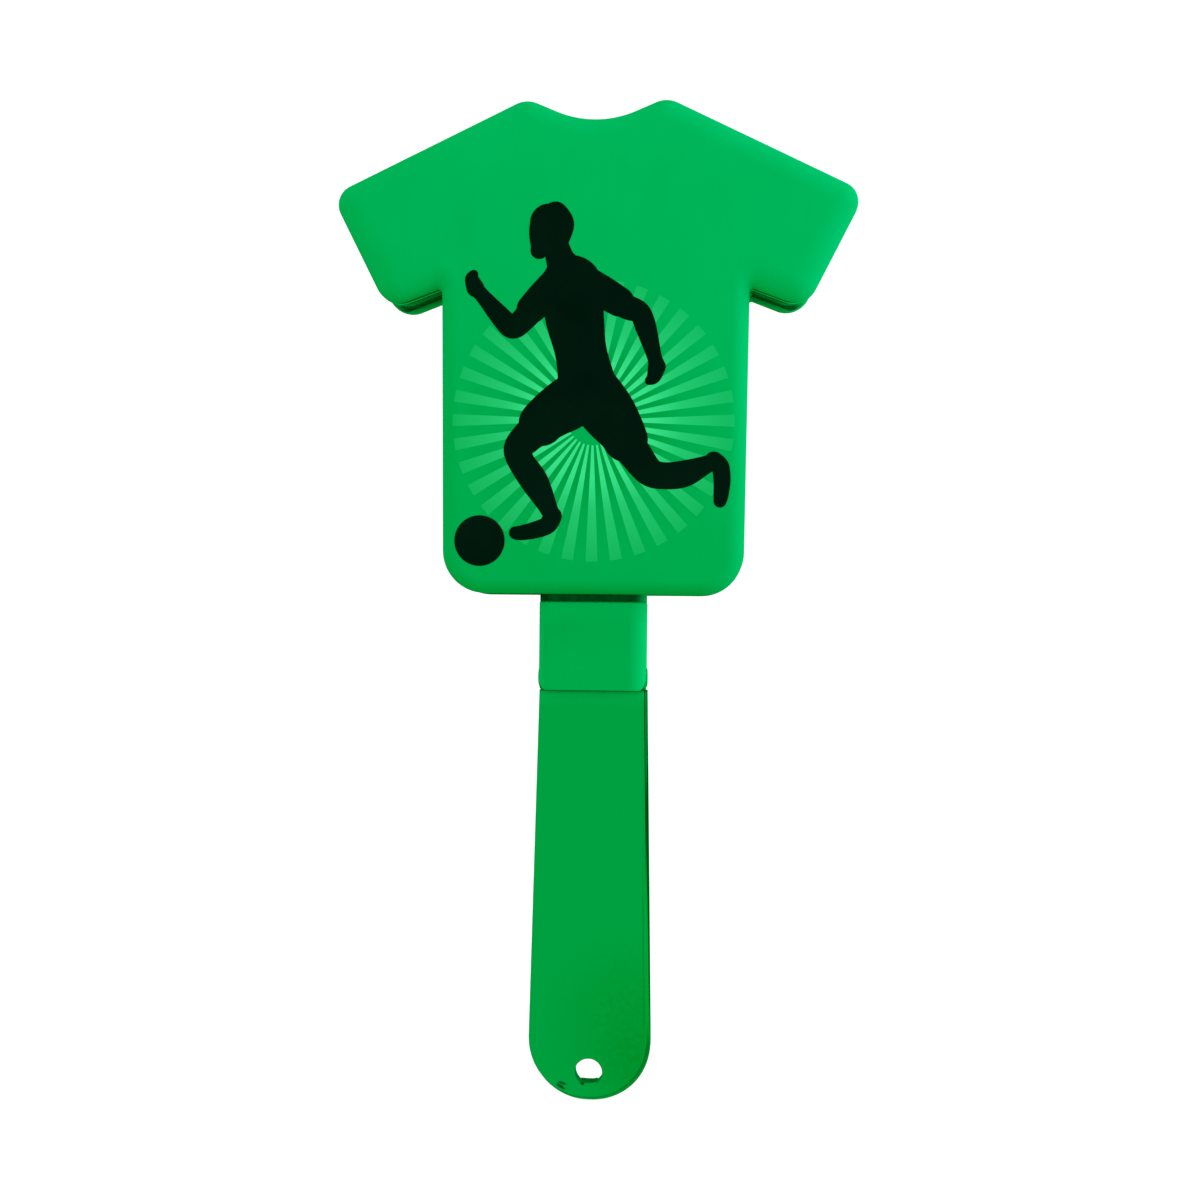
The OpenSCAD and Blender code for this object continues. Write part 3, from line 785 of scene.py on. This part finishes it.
def core_material():
    m, nt, bsdf = material("core_plastic_green")
    where = node(nt, "ShaderNodeTexCoord").outputs["Object"]
    colour = plastic_colour(nt, where, CORE_LOW, CORE_HIGH, -0.05, 0.05)
    hair = plastic_surface(nt, bsdf, where, 0.50)
    colour = blend(nt, maths(nt, "MULTIPLY", hair, 0.14), colour, (0.0, 0.46, 0.11))
    # handled end: a darker, mottled patch low on one side, and rubbed dark scuffs by the hole
    grime = maths(nt, "MULTIPLY", near_point(nt, where, (0.0113, -0.0028, -0.0320), 0.003, 0.024),
                  remap(nt, noise(nt, where, 700, 5, 0.7), 0.36, 0.64, 0.25, 0.65))
    colour = blend(nt, grime, colour, (0.0, 0.25, 0.008))
    grime = maths(nt, "MULTIPLY", near_point(nt, where, (0.0108, -0.0028, -0.0415), 0.002, 0.011),
                  remap(nt, noise(nt, where, 700, 5, 0.7), 0.36, 0.64, 0.3, 0.6))
    colour = blend(nt, grime, colour, (0.0, 0.25, 0.012))
    scuff = maths(nt, "MAXIMUM", streak(nt, where, (-0.00630, -0.04568), 0.00105, 0.00028, 18),
                  streak(nt, where, (-0.00668, -0.04652), 0.00130, 0.00038, 31))
    scuff = maths(nt, "MAXIMUM", scuff, streak(nt, where, (-0.00145, -0.04572), 0.00050, 0.00036, 0))
    scuff = maths(nt, "MULTIPLY", scuff, remap(nt, height(nt, where)[1], -0.0016, -0.0012, 0.85, 0))
    colour = blend(nt, scuff, colour, (0.0, 0.035, 0.006))
    # painted light: the shoulder under the wrist is painted a little paler, against the shade there
    pale = remap(nt, height(nt, where)[2], 0.0455, 0.0494, 0, 1)
    colour = blend(nt, pale, colour, (0.0, 0.415, 0.066))
    # painted light and shade on the ledge of the parting line along one edge of the handle: the ledge is painted
    # lighter, with painted shade in its inner corner, round its end and along its outer edge, most on the +x side
    x, y, z = height(nt, where)
    ledge = maths(nt, "MULTIPLY", remap(nt, y, -0.0004, -0.0001, 0, 1), remap(nt, y, 0.0003, 0.0006, 1, 0))
    ledge = maths(nt, "MULTIPLY", ledge, remap(nt, z, 0.0495, 0.0505, 1, 0))
    wall = maths(nt, "ADD", maths(nt, "MULTIPLY", z, -0.01724), 0.01341)
    rim = maths(nt, "ADD", maths(nt, "MULTIPLY", z, -0.0188), 0.01434)
    root = maths(nt, "MULTIPLY", remap(nt, maths(nt, "SUBTRACT", x, wall), 0.00015, 0.00035, 1, 0), remap(nt, z, -0.036, -0.032, 0, 1))
    root = maths(nt, "MULTIPLY", root, remap(nt, z, 0.000, 0.022, 0.1, 0.95))
    centre = node(nt, "ShaderNodeVectorMath", operation="DISTANCE")
    nt.links.new(where, centre.inputs[0])
    centre.inputs[1].default_value = (-0.0004, 0.0, -0.0344)
    curve = maths(nt, "MULTIPLY", remap(nt, centre.outputs["Value"], 0.01545, 0.01570, 0.26, 0), remap(nt, z, -0.036, -0.032, 1, 0))
    middle = maths(nt, "MULTIPLY", remap(nt, z, -0.036, -0.020, 0.4, 0.9), remap(nt, z, 0.030, 0.042, 1, 0.6))
    wide = maths(nt, "MULTIPLY", remap(nt, z, -0.010, 0.016, 0, 0.00035), remap(nt, z, 0.020, 0.030, 1, 0))
    outer = remap(nt, maths(nt, "ADD", maths(nt, "SUBTRACT", x, rim), wide), -0.00045, -0.00030, 0, 1)
    outer = maths(nt, "MULTIPLY", outer, remap(nt, z, -0.036, -0.032, 0, 1))
    painted_shade = maths(nt, "MAXIMUM", maths(nt, "MAXIMUM", root, curve), maths(nt, "MULTIPLY", middle, outer))
    painted_shade = maths(nt, "MULTIPLY", maths(nt, "MULTIPLY", painted_shade, ledge), remap(nt, x, -0.004, 0.004, 0.3, 1))
    ledge_light = maths(nt, "MULTIPLY", remap(nt, z, 0.010, 0.026, 0.9, 0.2), remap(nt, z, -0.037, -0.030, 0.15, 1))
    colour = blend(nt, maths(nt, "MULTIPLY", ledge, ledge_light), colour, (0.0, 0.50, 0.046))
    colour = blend(nt, painted_shade, colour, (0.0, 0.05, 0.002))
    # a painted shade line along that edge of the front half, and painted shade on its arris so it shows no highlight
    step = maths(nt, "SUBTRACT", x, wall)
    step_shade = maths(nt, "MULTIPLY", remap(nt, step, -0.00080, -0.00060, 0, 1), remap(nt, step, -0.00040, -0.00020, 1, 0))
    step_shade = maths(nt, "MULTIPLY", maths(nt, "MULTIPLY", step_shade, remap(nt, z, -0.036, -0.030, 0, 1)), remap(nt, z, 0.000, 0.014, 0.4, 0.12))
    arris_shade = maths(nt, "MULTIPLY", remap(nt, step, -0.00018, -0.00008, 0, 0.6), remap(nt, z, -0.036, -0.030, 0, 1))
    front = maths(nt, "MULTIPLY", remap(nt, y, -0.00266, -0.00258, 1, 0), remap(nt, z, 0.0480, 0.0492, 1, 0))
    colour = blend(nt, maths(nt, "MULTIPLY", maths(nt, "MAXIMUM", step_shade, arris_shade), front), colour, (0.0, 0.20, 0.006))
    # and painted shade on the downward faces of the rim under the sleeves
    below = maths(nt, "MULTIPLY", downward(nt), under_sleeves(nt, x, z))
    patchy = remap(nt, noise(nt, where, 900, 4, 0.7), 0.36, 0.62, 0.66, 0.97)
    colour = blend(nt, maths(nt, "MULTIPLY", below, patchy), colour, (0.0, 0.04, 0.0))
    # painted shade: a thin dark band across the handle just under the wrist
    under = maths(nt, "MULTIPLY", remap(nt, z, 0.0494, 0.0498, 0, 0.6), remap(nt, z, 0.0500, 0.0504, 1, 0))
    colour = blend(nt, under, colour, (0.0, 0.05, 0.008))
    nt.links.new(colour, bsdf.inputs["Base Color"])
    plastic_gloss(bsdf)
    return m


def pin_material():
    m, nt, bsdf = material("pin_plastic_green")
    where = node(nt, "ShaderNodeTexCoord").outputs["Object"]
    nt.links.new(plastic_colour(nt, where, PIN_LOW, PIN_HIGH, 0.05, 0.056), bsdf.inputs["Base Color"])
    plastic_surface(nt, bsdf, where, 0.46, 0.6)
    plastic_gloss(bsdf)
    return m


def ray_material(name, ink, near_fac, mid_fac, far_fac):
    """See-through ink over the leaf's own colour, thinning away from the middle of the burst."""
    m, nt, bsdf = material(name)
    where = node(nt, "ShaderNodeTexCoord").outputs["Object"]
    colour = plastic_colour(nt, where, LEAF_LOW, LEAF_HIGH, 0.065, 0.185)
    plastic_surface(nt, bsdf, where, 0.50)
    centre = FRONT @ Vector((BURST[0], -RIM_Y - LEAF_D, BURST[1]))
    n = node(nt, "ShaderNodeVectorMath", operation="DISTANCE")
    nt.links.new(where, n.inputs[0])
    n.inputs[1].default_value = centre
    ramp = node(nt, "ShaderNodeValToRGB")
    stops = [(0.0, near_fac), (0.28, near_fac), (0.55, mid_fac), (1.0, far_fac)]
    e = ramp.color_ramp.elements
    while len(e) < len(stops):
        e.new(0.5)
    for el, (p, v) in zip(e, stops):
        el.position = p
        el.color = (v, v, v, 1)
    nt.links.new(remap(nt, n.outputs["Value"], 0.001 * BURST_IN, 0.001 * BURST_OUT, 0, 1), ramp.inputs[0])
    grain = remap(nt, noise(nt, where, 1900, 3, 0.6), 0.30, 0.62, 0.88, 1.0)
    nt.links.new(blend(nt, maths(nt, "MULTIPLY", ramp.outputs[0], grain), colour, ink), bsdf.inputs["Base Color"])
    plastic_gloss(bsdf)
    return m


def ink_material():
    m, nt, bsdf = material("print_ink_black")
    where = node(nt, "ShaderNodeTexCoord").outputs["Object"]
    cloud = remap(nt, noise(nt, where, 60, 4), 0.35, 0.65, 0, 1)
    colour = blend(nt, cloud, (0.0004, 0.0075, 0.0032), (0.0008, 0.0105, 0.0045))
    pin = remap(nt, noise(nt, where, 2400, 2, 0.7), 0.70, 0.80, 0, 0.35)
    colour = blend(nt, pin, colour, (0.0, 0.06, 0.02))
    nt.links.new(colour, bsdf.inputs["Base Color"])
    plastic_surface(nt, bsdf, where, 0.48, 0.5)
    plastic_gloss(bsdf)
    return m


# ------------------------------------------------------------------ assembly
core_mat, pin_mat = core_material(), pin_material()


def place(ob, matrix, mat, body, slot=None, node_name=None, sharp=30):
    finish_mesh(ob, matrix, sharp)
    ob.data.materials.clear()
    ob.data.materials.append(mat)
    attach(ob, body)
    if node_name:
        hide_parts(node_name)
    return ob


place(leaf("leaf_front"), FRONT, leaf_material("leaf_plastic_green", FRONT_OPEN, 0.95, 0.0), "front_leaf", "leaf_plastic", "front_leaf")
place(leaf("leaf_rear", SLEEVE_TRIM, SLEEVE_MORE), REAR, leaf_material("leaf_plastic_green_rear", REAR_OPEN, 0.0, 1.0), "rear_leaf", "leaf_plastic", "rear_leaf")
place(core_front(), TO_M, core_mat, "handle", "core_plastic", "core_front_shell")
place(core_rear(), TO_M, core_mat, "handle", "core_plastic", "core_rear_shell")
place(pin_sleeve(), TO_M, pin_mat, "handle", "pin_plastic", "hinge_pin_sleeve")
place(pin_plug(), TO_M, pin_mat, "handle", "pin_plastic", "hinge_pin_plug")

light_ray = ray_material("print_ink_light", (0.045, 0.80, 0.26), 0.90, 0.42, 0.16)
dark_ray = ray_material("print_ink_shade", (0.0, 0.27, 0.035), 0.60, 0.15, 0.0)
place(burst("print_rays_light", 0.0, 5.0, BURST_OUT, 0.022), FRONT, light_ray, "front_leaf")
place(burst("print_rays_shade", 5.0, 5.0, BURST_OUT - 4.0, 0.018), FRONT, dark_ray, "front_leaf")
place(figure(), FRONT, ink_material(), "front_leaf")

# --------------------------------------------------------------- stage, light
FLOOR = -0.0503


def stage_bowl():
    """A round pale floor that curves up into a plain surround."""
    profile = [(0.0005, 0.0), (0.25, 0.0), (0.7, 0.0), (1.1, 0.0)]
    profile += [(1.1 + 0.6 * math.sin(t), 0.6 * (1 - math.cos(t))) for t in quarter(16)[1:]]
    profile += [(1.7, 1.2), (1.7, 2.4)]
    bm = bmesh.new()
    n = 96
    rows = [[bm.verts.new((r * math.cos(2 * math.pi * k / n), r * math.sin(2 * math.pi * k / n), FLOOR + z)) for k in range(n)]
            for r, z in profile]
    for a, b in zip(rows, rows[1:]):
        for i in range(n):
            j = (i + 1) % n
            bm.faces.new((a[i], a[j], b[j], b[i]))
    bm.faces.new(list(reversed(rows[0])))
    ob = make("stage_floor", bm)
    ob.data.shade_smooth()
    m, nt, bsdf = material("stage_white")
    where = node(nt, "ShaderNodeTexCoord").outputs["Object"]
    nt.links.new(blend(nt, noise(nt, where, 6, 3), (0.24, 0.24, 0.24), (0.27, 0.27, 0.27)), bsdf.inputs["Base Color"])
    bsdf.inputs["Roughness"].default_value = 0.9
    bsdf.inputs["Specular IOR Level"].default_value = 0.0
    bsdf.inputs["Emission Color"].default_value = (1, 1, 1, 1)
    bsdf.inputs["Emission Strength"].default_value = 0.95
    ob.data.materials.append(m)
    ob.visible_diffuse = False
    ob.visible_glossy = False
    ob.visible_shadow = False
    return ob


stage_bowl()


def area(name, place_at, aim, size, power, colour=(1, 1, 1)):
    data = bpy.data.lights.new(name, "AREA")
    data.shape, data.size, data.energy, data.color = "DISK", size, power, colour
    ob = bpy.data.objects.new(name, data)
    ob.location = place_at
    ob.rotation_mode = "QUATERNION"
    ob.rotation_quaternion = (Vector(aim) - Vector(place_at)).to_track_quat("-Z", "Y")
    scene.collection.objects.link(ob)
    return ob


area("key", (1.18, -0.075, 0.22), (0.0, 0.0, 0.08), 0.8, 17.0, (0.21, 0.42, 1.0))
area("back_fill", (-0.55, 0.90, 0.50), (0.0, 0.0, 0.08), 0.6, 2.0)

world = bpy.data.worlds.new("studio")
scene.world = world
world.use_nodes = True
wt = world.node_tree
wt.nodes.clear()
w_out = wt.nodes.new("ShaderNodeOutputWorld")
w_bg = wt.nodes.new("ShaderNodeBackground")
wt.links.new(w_bg.outputs[0], w_out.inputs[0])
w_dir = height(wt, node(wt, "ShaderNodeTexCoord").outputs["Generated"])
w_lift = remap(wt, w_dir[2], -1.0, 1.0, 0.0, 1.0)
w_ramp = node(wt, "ShaderNodeValToRGB")
w_stops = [(-1.0, 0.60, 0.21), (-0.6, 0.75, 0.47), (-0.25, 1.02, 0.97), (0.0, 1.09, 1.175), (0.4, 1.07, 1.195), (1.0, 1.035, 1.14)]
w_el = w_ramp.color_ramp.elements
while len(w_el) < len(w_stops):
    w_el.new(0.5)
for el, (at_z, green, blue) in zip(w_el, w_stops):
    el.position = 0.5 + 0.5 * at_z
    el.color = (green, green, blue, 1)
wt.links.new(w_lift, w_ramp.inputs[0])
wt.links.new(w_ramp.outputs[0], w_bg.inputs["Color"])
w_bg.inputs["Strength"].default_value = 1.0

scene.view_settings.view_transform = "Standard"
scene.view_settings.look = "None"
scene.view_settings.exposure = 0.0
scene.view_settings.gamma = 1.0

# -------------------------------------------------------------------- camera
cam_data = bpy.data.cameras.new("photo_camera")
cam_data.sensor_width = 36.0
cam_data.lens = 50.0
cam_data.clip_start, cam_data.clip_end = 0.01, 20.0
cam = bpy.data.objects.new("photo_camera", cam_data)
cam.location = (0.02825, -0.4092, 0.06413)
yaw, pitch = math.radians(-3.74), math.radians(1.10)
look = Vector((math.sin(yaw) * math.cos(pitch), math.cos(yaw) * math.cos(pitch), math.sin(pitch)))
cam.rotation_mode = "QUATERNION"
cam.rotation_quaternion = look.to_track_quat("-Z", "Y") @ Quaternion((0, 0, 1), math.radians(0.60))
scene.collection.objects.link(cam)
scene.camera = cam
